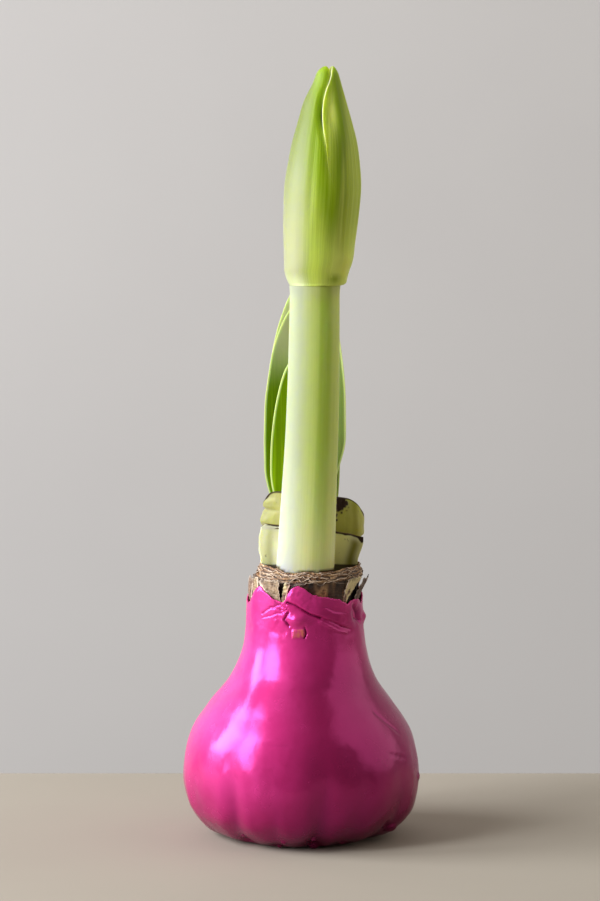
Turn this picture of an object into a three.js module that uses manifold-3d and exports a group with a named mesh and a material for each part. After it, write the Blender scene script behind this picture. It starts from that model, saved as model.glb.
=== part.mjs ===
// A waxed amaryllis bulb: a bulb dipped in a coat of wax, with the torn papery tunics of its neck above the
// coat, a flower stalk with its closed bud, young strap leaves behind the stalk and the stubs of last year's
// leaves.
//
// Units are millimetres. +Z is up, +X is to the right and -Y is the front, where the stalk stands. The origin
// is the middle of the flat spot that the bulb rests on.
import * as THREE from "three";
import { mergeVertices } from "three/addons/utils/BufferGeometryUtils.js";
import Module from "manifold-3d";

const wasm = await Module();
wasm.setup();

const { degToRad, lerp, smoothstep } = THREE.MathUtils;

// ---- Driving dimensions ----

const GAP = 0.3; // air kept between neighbouring pieces

const FOOT_RADIUS = 25; // the flat spot under the bulb
const BELLY_RADIUS = 45;
const NECK_RADIUS = 22.8; // outside of the wax on the neck
const WAX_TOP = 95; // mean height of the ragged edge of the wax
const WAX_THICKNESS = 1.4;

const BULB_TOP = 99.7; // the crown, where the stalk, the leaves and the stubs rise
const TUNIC_FOOT = 86; // shoulder of the bulb that the papery tunics stand on
const TUNIC_RADIUS = 19.4; // inside of the neck tunic
const TUNIC_THICKNESS = 0.7;
const TUNIC_TOP = 107;
const FLAP_RADIUS = TUNIC_RADIUS + TUNIC_THICKNESS + GAP; // inside of the torn flaps of the outer tunic

const NECK_LEAN = 1.75; // the neck stands this far right of the foot
const RIM_LEAN = 2; // and the rim of the tunic this much further

const SCAPE_FOOT = new THREE.Vector2(1.7, -10); // the stalk's centre at the crown
const SCAPE_FOOT_RADIUS = 11.4;
const SCAPE_TOP_RADIUS = 9.6;
const SCAPE_FLATNESS = 0.82; // depth of the stalk as a share of its width
const SCAPE_TOP = 215.4;
const SCAPE_LEAN = 4; // the stalk's top stands this far right of its foot

const BUD_TOP = 299;
const BUD_RADIUS = 14.8;
const BUD_FLATNESS = 0.88; // depth of the bud as a share of its width
const BUD_LEAN = 4.6; // the bud's tip stands this far right of the stalk's top

const STUB_THICKNESS = 2.2;
const SLEEVE_TOP = 134.6;
const SLEEVE_DEPTH = 10; // the tall stub and the young leaves inside it stand round this line
const LEAF_THICKNESS = 1.25;
const LEAF_BEND = 5; // the leaves bend this far back over their height

const ROUND_SEGMENTS = 40; // facets round the bulb, its coat and its neck
const ROUND_ROWS = 20; // and rows up its side

// ---- Shared helpers ----

// Moves each vertex of a geometry to where place(vertex) puts it.
function deform(geometry, place) {
  const position = geometry.getAttribute("position");
  const vertex = new THREE.Vector3();
  for (let i = 0; i < position.count; i++) {
    vertex.fromBufferAttribute(position, i);
    place(vertex);
    position.setXYZ(i, vertex.x, vertex.y, vertex.z);
  }
  return geometry;
}

// A lathed solid standing on +Z, from a profile of (radius, height) points.
function lathe(profile, segments) {
  return new THREE.LatheGeometry(profile, segments).rotateX(Math.PI / 2);
}

// A lathed ring with a closed section, from the points of its inner wall and a thickness.
function ring(inner, thickness, segments) {
  const outer = inner.map((p) => new THREE.Vector2(p.x + thickness, p.y));
  return lathe([...outer, ...inner.reverse(), outer[0].clone()], segments);
}

// A block whose corners run over across = -1..1, thick = -0.5..0.5 and up = 0..1, which place() turns into a
// shape.
function block(acrossSteps, upSteps, place) {
  const geometry = new THREE.BoxGeometry(2, 1, 1, acrossSteps, 1, upSteps);
  return deform(geometry.translate(0, 0, 0.5), (v) => place(v, v.x, v.y, v.z));
}

// Smooth height round the neck, from [angle in degrees, height] pairs. Angle 0 is +X and 270 is the front.
function heightRound(pairs) {
  const turns = [...pairs, [pairs[0][0] + 360, pairs[0][1]]];
  return (angle) => {
    const turn = THREE.MathUtils.euclideanModulo(angle - pairs[0][0], 360) + pairs[0][0];
    const next = turns.findIndex(([a]) => a > turn);
    const [a0, z0] = turns[next - 1];
    const [a1, z1] = turns[next];
    return lerp(z0, z1, smoothstep(turn, a0, a1));
  };
}

function angleOf(x, y) {
  return THREE.MathUtils.radToDeg(Math.atan2(y, x));
}

function points(pairs) {
  return pairs.map(([r, z]) => new THREE.Vector2(r, z));
}

function solidOf(geometry) {
  const bare = geometry.index ? geometry.toNonIndexed() : geometry.clone();
  bare.deleteAttribute("normal");
  bare.deleteAttribute("uv");
  const merged = mergeVertices(bare, 1e-3);
  return new wasm.Manifold(
    new wasm.Mesh({
      numProp: 3,
      vertProperties: merged.getAttribute("position").array,
      triVerts: new Uint32Array(merged.index.array),
    }),
  );
}

function geometryOf(solid) {
  const mesh = solid.getMesh();
  const geometry = new THREE.BufferGeometry();
  geometry.setAttribute("position", new THREE.BufferAttribute(mesh.vertProperties.slice(), 3));
  geometry.setIndex(new THREE.BufferAttribute(mesh.triVerts.slice(), 1));
  return geometry;
}

function material(colour, roughness) {
  return new THREE.MeshStandardMaterial({ color: colour, roughness, metalness: 0 });
}

const plant = new THREE.Group();

function add(name, geometry, surface) {
  const mesh = new THREE.Mesh(geometry, surface);
  mesh.name = name;
  plant.add(mesh);
}

// ---- The neck's lean, which every piece of the neck shares ----

function leanAt(z) {
  return NECK_LEAN * smoothstep(z, 50, 78) + RIM_LEAN * smoothstep(z, 95, TUNIC_TOP);
}

// The neck is a little deeper than wide at its rim.
function leanNeck(v) {
  v.y *= 1 + 0.04 * smoothstep(v.z, 96, 106);
  v.x += leanAt(v.z);
}

// ---- Wax coat and bulb ----

// Outline of the wax from the edge of the foot to the neck, as (radius, height).
const outline = new THREE.SplineCurve(
  points([
    [FOOT_RADIUS, 0],
    [34.2, 3],
    [41.6, 10.4],
    [44.8, 19.5],
    [BELLY_RADIUS, 29],
    [42.6, 40.5],
    [36.2, 51.5],
    [28.4, 62],
    [24.3, 72.5],
    [23, 84],
    [NECK_RADIUS, WAX_TOP],
  ]),
);

// Points of the outline moved inwards by a distance, up to a height.
function outlineInside(distance, steps, top) {
  const inside = [];
  for (let i = 0; i <= steps; i++) {
    const along = outline.getTangent(i / steps);
    const point = outline.getPoint(i / steps);
    point.x -= along.y * distance;
    point.y += along.x * distance;
    inside.push(point);
  }
  return inside.filter((p) => p.y < top && p.y > distance * 1.02);
}

// Height of the ragged edge of the wax round the neck.
const waxEdge = heightRound([
  [0, 95.5],
  [40, 96.5],
  [75, 94.5],
  [110, 97],
  [150, 95],
  [196, 94.3],
  [212, 98.6],
  [232, 95.6],
  [246, 93.6],
  [260, 99],
  [284, 95.6],
  [310, 94.6],
  [325, 93.8],
]);

function waxCoat() {
  const steps = ROUND_ROWS;
  const rimStart = 80; // the edge's waves fade out below this height
  const innerWall = outlineInside(WAX_THICKNESS, steps, WAX_TOP);
  const profile = [
    new THREE.Vector2(0, 0),
    ...outline.getPoints(steps),
    new THREE.Vector2(NECK_RADIUS - WAX_THICKNESS, WAX_TOP),
    ...innerWall.reverse(),
    new THREE.Vector2(0, WAX_THICKNESS),
  ];
  return deform(lathe(profile, ROUND_SEGMENTS), (v) => {
    const rise = waxEdge(angleOf(v.x, v.y)) - WAX_TOP;
    v.z += rise * smoothstep(v.z, rimStart, WAX_TOP);
    leanNeck(v);
  });
}

function bulb() {
  const coat = WAX_THICKNESS + GAP;
  const neck = TUNIC_RADIUS - GAP;
  const shoulder = TUNIC_FOOT - GAP;
  const profile = [
    new THREE.Vector2(0, coat),
    ...outlineInside(coat, ROUND_ROWS, shoulder - 2),
    new THREE.Vector2(NECK_RADIUS - coat, shoulder),
    new THREE.Vector2(neck, shoulder),
    new THREE.Vector2(neck, 93),
    new THREE.Vector2(neck, 96.5),
    new THREE.Vector2(neck - 0.1, BULB_TOP),
    new THREE.Vector2(0, BULB_TOP),
  ];
  return deform(lathe(profile, ROUND_SEGMENTS), leanNeck);
}

// ---- Papery tunics of the neck ----

const rimHeight = heightRound([
  [0, 107.1],
  [90, 108],
  [180, 108],
  [225, 106.8],
  [270, 106.3],
  [315, 106.9],
]);

function neckTunic() {
  const inner = points([
    [TUNIC_RADIUS, TUNIC_FOOT],
    [TUNIC_RADIUS, 93],
    [TUNIC_RADIUS, 96.5],
    [TUNIC_RADIUS, BULB_TOP],
    [TUNIC_RADIUS, 103],
    [TUNIC_RADIUS - 0.2, TUNIC_TOP],
  ]);
  return deform(ring(inner, TUNIC_THICKNESS, ROUND_SEGMENTS), (v) => {
    const rise = rimHeight(angleOf(v.x, v.y)) - TUNIC_TOP;
    v.z += rise * smoothstep(v.z, 100, TUNIC_TOP);
    leanNeck(v);
  });
}

// A torn flap of an outer tunic, between two angles. Its foot is tucked between the wax and the neck tunic,
// and its crown bends outwards by flare.
function tunicFlap({ from, to, top, flare = 0 }) {
  const steps = Math.max(3, Math.round((to - from) / 7));
  return block(steps, 6, (v, across, thick, up) => {
    const angle = lerp(to, from, (across + 1) / 2);
    const z = lerp(TUNIC_FOOT, top - 1.5 * across ** 2, up);
    const bend = flare * smoothstep(z, WAX_TOP + 3, top) ** 2;
    const radius = FLAP_RADIUS + TUNIC_THICKNESS * (thick + 0.5) + bend;
    v.set(radius * Math.cos(degToRad(angle)), radius * Math.sin(degToRad(angle)), z);
    leanNeck(v);
  });
}

const flaps = {
  tunic_flap_left: { from: 184, to: 204, top: 102.5, flare: 1.6 },
  tunic_flap_left_strip: { from: 207, to: 221, top: 103.5, flare: 0.8 },
  tunic_flap_front_left: { from: 224, to: 246, top: 103.5, flare: 0.5 },
  tunic_flap_front: { from: 250, to: 316, top: 105 },
  tunic_flap_front_right: { from: 319, to: 335, top: 104.5 },
  tunic_flap_right: { from: 338, to: 358, top: 103.5, flare: 1.6 },
  tunic_flap_back_right: { from: 18, to: 84, top: 103.5, flare: 0.5 },
  tunic_flap_back_left: { from: 96, to: 160, top: 104.5, flare: 0.8 },
};

// ---- Flower stalk ----

function scapeCentre(z) {
  const share = (z - BULB_TOP) / (SCAPE_TOP - BULB_TOP);
  return new THREE.Vector2(SCAPE_FOOT.x + SCAPE_LEAN * Math.sin((share * Math.PI) / 2), SCAPE_FOOT.y);
}

function scape() {
  const foot = BULB_TOP + GAP;
  const height = SCAPE_TOP - foot;
  const stalk = new THREE.CylinderGeometry(SCAPE_TOP_RADIUS, SCAPE_FOOT_RADIUS, height, 28, 8);
  stalk.rotateX(Math.PI / 2).translate(0, 0, foot + height / 2);
  return deform(stalk, (v) => {
    const centre = scapeCentre(v.z);
    v.x += centre.x;
    v.y = v.y * SCAPE_FLATNESS + centre.y;
  });
}

// ---- Bud, in its two spathe valves ----

const budFoot = SCAPE_TOP + GAP;

// Outline of the closed bud, as (radius, height).
const budOutline = new THREE.SplineCurve(
  points([
    [SCAPE_TOP_RADIUS, budFoot],
    [12.2, 219.5],
    [13.9, 229],
    [BUD_RADIUS, 244],
    [14, 260],
    [11.7, 275],
    [7.9, 288],
    [4, 295.5],
    [1.6, BUD_TOP],
  ]),
);

function placeBud(v) {
  const foot = scapeCentre(SCAPE_TOP);
  v.x += foot.x + BUD_LEAN * smoothstep(v.z, budFoot - 12, BUD_TOP + 10);
  v.y = v.y * BUD_FLATNESS + foot.y;
}

// One of the two valves, which meet down the middle of the bud. side is -1 for the left and 1 for the right.
function spatheValve(side) {
  const profile = [new THREE.Vector2(0, budFoot), ...budOutline.getPoints(20), new THREE.Vector2(0, BUD_TOP)];
  const bud = solidOf(lathe(profile, 32));
  const half = new THREE.BoxGeometry(BUD_RADIUS * 2, BUD_RADIUS * 3, BUD_TOP);
  half.translate(side * (BUD_RADIUS + GAP / 2), 0, budFoot + BUD_TOP / 2 - 1);
  return deform(geometryOf(bud.intersect(solidOf(half))), placeBud);
}

// ---- Stubs of cut leaves ----

// A low stub, pressed between the stalk and the tall stub and bowed round the stalk.
function lowStub() {
  const foot = BULB_TOP + GAP;
  const halfWidth = TUNIC_RADIUS - 0.7; // fills the neck tunic from side to side, and swells above it
  return block(12, 5, (v, across, thick, up) => {
    const top = lerp(122.5, 117.5, (across + 1) / 2) - 0.8 * across ** 4;
    const z = lerp(foot, top, up);
    const leftSide = halfWidth + 1.1 * smoothstep(z, TUNIC_TOP + 1.5, 112);
    const rightSide = halfWidth + 2.2 * smoothstep(z, TUNIC_TOP + 1.5, 117);
    const x = leanAt(z) + lerp(-leftSide, rightSide, (across + 1) / 2);
    const roundedEdge = Math.sqrt(1 - 0.75 * across ** 4);
    v.set(x, 0.75 + STUB_THICKNESS * thick * roundedEdge - 1.6 * across ** 4, z);
  });
}

// The cosine or sine of an oval with fuller corners than an ellipse.
function full(value) {
  return Math.sign(value) * Math.abs(value) ** 0.8;
}

// A tall stub that sheathes the young leaves as an oval sleeve. It is cut across at its top, a little lower
// on the right and at the back, and its two sides have sagged.
function sleeveStub() {
  const inner = points([
    [1, BULB_TOP + GAP],
    [1, TUNIC_TOP + 1.5],
    [1, 112],
    [1, 117],
    [1, 123],
    [1, 129],
    [1, SLEEVE_TOP],
  ]);
  return deform(ring(inner, 1, 36), (v) => {
    const outside = Math.hypot(v.x, v.y) > 1.5 ? 0 : STUB_THICKNESS;
    const turn = Math.atan2(v.y, v.x);
    const spread = smoothstep(v.z, TUNIC_TOP + 1.5, 122);
    const halfWidth = 14.4 + 5.4 * spread - outside;
    const halfDepth = 7 + 1.6 * spread - outside;
    const slant = 1.9 * (1 + Math.cos(turn)) + 2.2 * smoothstep(Math.sin(turn), 0, 0.8);
    const sag = 6 * Math.cos(turn) ** 10;
    const drop = (slant + sag) * smoothstep(v.z, 111, SLEEVE_TOP);
    v.x = leanAt(v.z) + 1.5 * spread + halfWidth * full(Math.cos(turn));
    v.y = SLEEVE_DEPTH + 0.9 * spread + halfDepth * full(Math.sin(turn));
    v.z -= drop;
  });
}

// ---- Young leaves ----

// A strap leaf: narrow at its foot, widest above the middle, with a round tip. All leaves are channelled and
// bent alike, so they nest. footX and footWidth give its middle and width at its foot, x and width those
// above the heights of swell, and depth how far it stands behind the middle of the sleeve.
function leaf({ footX, footWidth, x: highX, width, top, depth, tipLean, swell: [low, high] = [108, 152] }) {
  const start = BULB_TOP + GAP;
  const tipStart = 0.5; // share of the height where the round tip begins
  return block(6, 14, (v, across, thick, up) => {
    const z = lerp(start, top, up);
    const grown = smoothstep(z, low, high);
    const tip = Math.max(0, (up - tipStart) / (1 - tipStart));
    const halfWidth = (lerp(footWidth, width, grown) / 2) * Math.sqrt(Math.max(0.02, 1 - tip ** 2.4));
    const x = lerp(footX, highX, grown) + tipLean * tip ** 2 + halfWidth * across;
    const channel = 1.2 * smoothstep(z, 126, 165) * ((x - 2) / 15) ** 2;
    const bend = LEAF_BEND * smoothstep(z, 125, 225);
    const roundedEdge = Math.sqrt(1 - 0.6 * across ** 4);
    v.set(x, SLEEVE_DEPTH + depth - channel + bend + LEAF_THICKNESS * thick * roundedEdge, z);
  });
}

const leaves = {
  leaf_left_short: {
    footX: -1.9,
    footWidth: 8.8,
    x: -3.6,
    width: 16,
    top: 186,
    depth: -2.4,
    tipLean: 1.5,
    swell: [114, 150],
  },
  leaf_right: {
    footX: 8.7,
    footWidth: 10,
    x: 9.7,
    width: 16.4,
    top: 207,
    depth: -0.8,
    tipLean: -1,
    swell: [134, 155],
  },
  leaf_left_tall: {
    footX: 3.1,
    footWidth: 21.4,
    x: 0.8,
    width: 29.6,
    top: 209,
    depth: 0.8,
    tipLean: 2,
    swell: [113, 144],
  },
  leaf_rear: { footX: 3.1, footWidth: 17.6, x: 1, width: 28, top: 218, depth: 2.4, tipLean: 3.5 },
};

// ---- The whole plant ----

const wax = material(0xc2246f, 0.3);
const bulbFlesh = material(0xb9a377, 0.7);
const tunicPaper = material(0x8a6a4c, 0.85);
const scapeGreen = material(0xb9cc72, 0.45);
const spatheGreen = material(0x8aa82e, 0.45);
const leafGreen = material(0x5f8f1c, 0.45);
const stubGreen = material(0xc3c67a, 0.5);

add("wax_coat", waxCoat(), wax);
add("bulb", bulb(), bulbFlesh);
add("neck_tunic", neckTunic(), tunicPaper);
for (const [name, shape] of Object.entries(flaps)) {
  add(name, tunicFlap(shape), tunicPaper);
}
add("scape", scape(), scapeGreen);
add("spathe_valve_left", spatheValve(-1), spatheGreen);
add("spathe_valve_right", spatheValve(1), spatheGreen);
add("leaf_stub_low", lowStub(), stubGreen);
add("leaf_stub_tall", sleeveStub(), stubGreen);
for (const [name, shape] of Object.entries(leaves)) {
  add(name, leaf(shape), leafGreen);
}

export default plant;
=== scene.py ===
import math

import bmesh
import bpy
import numpy as np
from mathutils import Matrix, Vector, noise


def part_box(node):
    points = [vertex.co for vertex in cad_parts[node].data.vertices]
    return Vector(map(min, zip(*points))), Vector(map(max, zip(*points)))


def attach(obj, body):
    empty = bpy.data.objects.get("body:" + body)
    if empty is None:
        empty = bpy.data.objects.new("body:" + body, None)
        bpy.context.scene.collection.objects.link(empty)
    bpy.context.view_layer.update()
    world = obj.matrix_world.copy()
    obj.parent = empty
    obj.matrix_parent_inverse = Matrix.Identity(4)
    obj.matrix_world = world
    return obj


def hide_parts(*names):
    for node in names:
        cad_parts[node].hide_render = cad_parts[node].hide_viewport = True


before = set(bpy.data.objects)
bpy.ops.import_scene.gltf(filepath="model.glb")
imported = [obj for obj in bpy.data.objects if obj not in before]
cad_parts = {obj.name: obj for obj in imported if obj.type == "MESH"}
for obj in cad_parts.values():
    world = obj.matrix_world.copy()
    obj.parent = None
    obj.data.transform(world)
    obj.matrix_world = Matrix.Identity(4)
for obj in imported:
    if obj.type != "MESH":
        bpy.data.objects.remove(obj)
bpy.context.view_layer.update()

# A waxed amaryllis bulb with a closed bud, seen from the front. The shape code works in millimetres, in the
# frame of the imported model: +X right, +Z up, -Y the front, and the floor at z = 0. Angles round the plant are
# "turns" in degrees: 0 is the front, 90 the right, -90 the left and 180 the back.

MM = 0.001


def foot_and_top(node):
    """Heights of the foot and top of a CAD node, in millimetres."""
    return [round(float(corner[2]) / MM, 2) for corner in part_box(node)]


# ---- Driving dimensions, in millimetres ----

CROWN, SCAPE_TOP = foot_and_top("scape")  # the leaves and the stubs rise from the crown too
BUD_TOP = foot_and_top("spathe_valve_left")[1]
BUD_FOOT = SCAPE_TOP + 0.06
PAPER_FOOT = 86.4
SLEEVE_TOP = 134.6  # the tall stub, before its slanting cut
NECK_LEAN = 1.75  # the neck stands this far right of the foot
RIM_LEAN = 2.0  # and the rim of the papery neck this much further
NECK_RADIUS = 22.8  # outside of the wax on the neck
FLAP_RADIUS = 20.75  # middle of the torn outer paper
PAPER_RADIUS = 20.0  # about the middle of all the paper
SCAPE_DEPTH = -10.0  # the stalk's middle stands this far in front of the neck's
SLEEVE_DEPTH = 10.0  # and the tall stub and the leaves this far behind it


# ---- Small maths ----

def smooth(value, low, high):
    """0 below low, 1 above high, and a soft step between."""
    share = np.clip((np.asarray(value, float) - low) / (high - low), 0, 1)
    return share * share * (3 - 2 * share)


def fade(value, low, high):
    """1 below low, 0 above high, and a soft step between."""
    return 1 - smooth(value, low, high)


def hump(value, middle, half_width):
    """A soft hump of height 1 that ends about two half-widths from its middle."""
    return np.exp(-(((np.asarray(value, float) - middle) / half_width) ** 2))


def spot(turns, z, turn, half_turn, height, half_height):
    """A soft hump at one place on an upright round surface."""
    return hump(turns, turn, half_turn) * hump(z, height, half_height)


def mix(low, high, share):
    return low + (high - low) * share


def curve(points, at):
    """Smooth values through (position, value) points, held level past both ends."""
    places, values = np.array(points, float).T
    slopes = np.gradient(values, places)
    at = np.clip(at, places[0], places[-1])
    left = np.clip(np.searchsorted(places, at, side="right") - 1, 0, len(places) - 2)
    span = places[left + 1] - places[left]
    t = (at - places[left]) / span
    step = mix(values[left], values[left + 1], t * t * (3 - 2 * t))
    return step + span * t * (1 - t) * ((1 - t) * slopes[left] - t * slopes[left + 1])


def lumps(points, size, seed, stretch=(1, 1, 1)):
    """Smooth noise from about -1 to 1 at each point, with lumps of a size in millimetres."""
    shift = Vector((13.7, 7.3, 3.1)) * seed
    scaled = points.reshape(-1, 3) / (np.array(stretch, float) * size)
    values = [noise.noise(Vector(p) + shift) for p in scaled]
    return np.array(values).reshape(points.shape[:-1])


def ragged(places, size, seed):
    """The same noise along a line of places."""
    places = np.asarray(places, float)
    zero = np.zeros_like(places)
    return lumps(np.stack([places, zero, zero], -1), size, seed)


def lean(z):
    """How far right the neck's middle stands at a height."""
    return NECK_LEAN * smooth(z, 50, 78) + RIM_LEAN * smooth(z, 95, 107)


def whole_turn(columns, start=-180):
    """Turns in even steps right round the plant."""
    return np.linspace(start, start + 360, columns, endpoint=False)[None, :]


def around(turns, radius, z, depth=1.0, middle=(0.0, 0.0)):
    """Points at turns in degrees round an upright axis."""
    turn = np.radians(turns)
    x = middle[0] + radius * np.sin(turn)
    y = middle[1] - radius * depth * np.cos(turn)
    return np.stack(np.broadcast_arrays(x, y, z), -1)


def round_neck(turns, radius, z):
    """Points round the leaning neck, which is a little deeper than wide at its rim."""
    points = around(turns, radius, z, depth=1 + 0.04 * smooth(z, 96, 106))
    points[..., 0] += lean(z)
    return points


# ---- Meshes ----

SHARP_ANGLE = math.radians(60)  # edges sharper than this stay sharp


def grid_quads(rows, columns, wrap=False, wrap_rows=False):
    """Quads of a grid of points, joined across its last column or row where it wraps."""
    row = np.arange(rows if wrap_rows else rows - 1)[:, None]
    column = np.arange(columns if wrap else columns - 1)[None, :]
    here, above = row * columns, (row + 1) % rows * columns
    beside = (column + 1) % columns
    corners = [here + column, here + beside, above + beside, above + column]
    return np.stack(np.broadcast_arrays(*corners), -1).reshape(-1, 4)


def put_in_scene(name, data):
    """Makes the object of a mesh, a light or a camera."""
    thing = bpy.data.objects.new(name, data)
    bpy.context.scene.collection.objects.link(thing)
    return thing


def piece(name, points, faces, material, node, masks):
    """A mesh object of points in millimetres, in the place of a CAD node. masks are values at its points, by
    name, that the material reads."""
    mesh = bpy.data.meshes.new(name)
    mesh.from_pydata((points.reshape(-1, 3) * MM).tolist(), [], [tuple(f) for f in faces])
    outward = bmesh.new()
    outward.from_mesh(mesh)
    bmesh.ops.recalc_face_normals(outward, faces=outward.faces)
    outward.to_mesh(mesh)
    outward.free()
    mesh.polygons.foreach_set("use_smooth", [True] * len(mesh.polygons))
    mesh.set_sharp_from_angle(angle=SHARP_ANGLE)
    for mask, values in masks.items():
        layer = mesh.attributes.new(mask, "FLOAT", "POINT")
        values = np.broadcast_to(values, points.shape[:-1])
        layer.data.foreach_set("value", values.astype(np.float32).ravel())
    mesh.materials.append(material)
    thing = put_in_scene(name, mesh)
    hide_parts(node)
    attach(thing, "root")


def column_piece(name, rings, material, node, masks):
    """A piece from a stack of rings of points, with its first and last ring closed to their middles."""
    rows, columns = rings.shape[:2]
    foot, top, last = rows * columns, rows * columns + 1, (rows - 1) * columns
    faces = grid_quads(rows, columns, wrap=True).tolist()
    for c in range(columns):
        beside = (c + 1) % columns
        faces.append((foot, beside, c))
        faces.append((top, last + c, last + beside))
    points = np.concatenate([rings.reshape(-1, 3), [rings[0].mean(0), rings[-1].mean(0)]])
    closed = {}
    for mask, values in masks.items():
        values = np.broadcast_to(values, (rows, columns))
        closed[mask] = np.append(values.ravel(), [values[0].mean(), values[-1].mean()])
    piece(name, points, faces, material, node, closed)


def normals_of(middle, wrap=False):
    """Unit normals of a grid of points."""
    if wrap:
        middle = np.concatenate([middle[:, -1:], middle, middle[:, :1]], 1)
    normal = np.cross(np.gradient(middle, axis=1), np.gradient(middle, axis=0))
    normal /= np.maximum(np.linalg.norm(normal, axis=-1, keepdims=True), 1e-9)
    return normal[:, 1:-1] if wrap else normal


def sheet_piece(name, middle, thickness, material, node, masks, wrap=False):
    """A closed sheet round a middle surface, with a thickness in millimetres at each of its points."""
    rows, columns = middle.shape[:2]
    count = rows * columns
    offset = normals_of(middle, wrap) * (np.broadcast_to(thickness, (rows, columns))[..., None] / 2)
    front = grid_quads(rows, columns, wrap)
    cells = np.arange(count).reshape(rows, columns)
    edges = [cells[0], cells[-1]] if wrap else [cells[0], cells[-1], cells[:, 0], cells[:, -1]]
    faces = [front, front + count]
    for edge in edges:
        following = np.roll(edge, -1)
        if not wrap:
            edge, following = edge[:-1], following[:-1]
        faces.append(np.stack([following, edge, edge + count, following + count], -1))
    points = np.stack([middle + offset, middle - offset])
    piece(name, points, np.concatenate(faces), material, node, masks)


def thin_rim(rows, columns, wrap=False):
    """Share of a sheet's thickness at each point, less and less at its rounded top and sides."""
    reach, least = 0.06, 0.3
    from_edge = (1 - np.linspace(0, 1, rows))[:, None]
    if not wrap:
        across = np.linspace(0, 1, columns)[None, :]
        from_edge = np.minimum(from_edge, np.minimum(across, 1 - across))
    share = np.sqrt(1 - (1 - np.clip(from_edge / reach, 0, 1)) ** 2)
    return np.maximum(share, least)


# ---- Materials ----

class Surface:
    """A node material with one Principled shader, built with short calls. Its colour is painted in layers."""

    def __init__(self, name, **constants):
        self.material = bpy.data.materials.new(name)
        self.material.use_nodes = True
        self.tree = self.material.node_tree
        self.shader = self.tree.nodes["Principled BSDF"]
        self.place = self.add("ShaderNodeTexCoord").outputs["Object"]
        self.z = self.add("ShaderNodeSeparateXYZ", {"Vector": self.place}).outputs["Z"]
        self.colour = None
        self.set(**constants)

    def set(self, **values):
        """Sets or links sockets of the shader, named with _ for each space."""
        for socket, value in values.items():
            self.put(value, self.shader.inputs[socket.replace("_", " ")])

    def put(self, value, socket):
        if isinstance(value, bpy.types.NodeSocket):
            self.tree.links.new(value, socket)
        elif isinstance(value, tuple) and len(socket.default_value) == 4:
            socket.default_value = (*value, 1)
        else:
            socket.default_value = value

    def add(self, kind, inputs=None, **settings):
        node = self.tree.nodes.new(kind)
        for setting, value in settings.items():
            setattr(node, setting, value)
        for socket, value in (inputs or {}).items():
            self.put(value, node.inputs[socket])
        return node

    def math(self, operation, first, second):
        return self.add("ShaderNodeMath", {0: first, 1: second}, operation=operation).outputs[0]

    def texture(self, place, detail):
        inputs = {"Vector": place.outputs[0], "Scale": 1.0, "Detail": detail}
        return self.add("ShaderNodeTexNoise", inputs).outputs["Fac"]

    def noise(self, size, stretch=(1, 1, 1), detail=3.0):
        """Noise from 0 to 1 with lumps of a size in millimetres, longer along an axis by its stretch."""
        scale = tuple(1 / (size * MM * s) for s in stretch)
        return self.texture(self.add("ShaderNodeMapping", {"Vector": self.place, "Scale": scale}), detail)

    def fibres(self, width, length):
        """Noise in long streaks. The mesh's fibre mask counts the millimetres across them."""
        across = self.math("MULTIPLY", self.mask("fibre"), 1 / width)
        along = self.math("MULTIPLY", self.z, 1 / (length * MM))
        return self.texture(self.add("ShaderNodeCombineXYZ", {"X": across, "Y": along}), 2.0)

    def mask(self, name):
        return self.add("ShaderNodeAttribute", attribute_name=name).outputs["Fac"]

    def range(self, value, low, high, to_low=0.0, to_high=1.0):
        inputs = {"Value": value, "From Min": low, "From Max": high, "To Min": to_low, "To Max": to_high}
        return self.add("ShaderNodeMapRange", inputs, interpolation_type="SMOOTHSTEP").outputs["Result"]

    def height(self, low, high, to_low=0.0, to_high=1.0):
        return self.range(self.z, low * MM, high * MM, to_low, to_high)

    def blend(self, share, first, second):
        """Mixes two colours, given as sockets or as (r, g, b). The mix node takes them at 6 and 7."""
        return self.add("ShaderNodeMix", {0: share, 6: first, 7: second}, data_type="RGBA").outputs[2]

    def paint(self, share, colour, most=None):
        """Lays a colour over those before it, where a mask or a socket says so, up to the share most."""
        if isinstance(share, str):
            share = self.mask(share)
        if most is not None:
            share = self.math("MULTIPLY", share, most)
        self.colour = self.blend(share, self.colour, colour)

    def let_light_in(self, weight):
        """Lets light spread under the surface, but not where another piece is grown or pressed onto it."""
        self.set(Subsurface_Weight=self.range(self.mask("firm"), 0, 1, weight, 0))

    def finish(self, roughness, *bumps):
        """Links the colour, a roughness socket and bumps, as (height socket, depth in millimetres)."""
        layer = {}
        for height, depth in bumps:
            layer.update({"Height": height, "Distance": depth * MM, "Strength": 1.0})
            layer["Normal"] = self.add("ShaderNodeBump", layer).outputs["Normal"]
        self.set(Base_Color=self.colour, Roughness=roughness, Normal=layer["Normal"])
        return self.material


# Plant flesh lets light through, and blue least of all.
FLESH = {"Subsurface_Radius": (0.85, 1.0, 0.12), "IOR": 1.42, "Specular_IOR_Level": 0.27}


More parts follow.
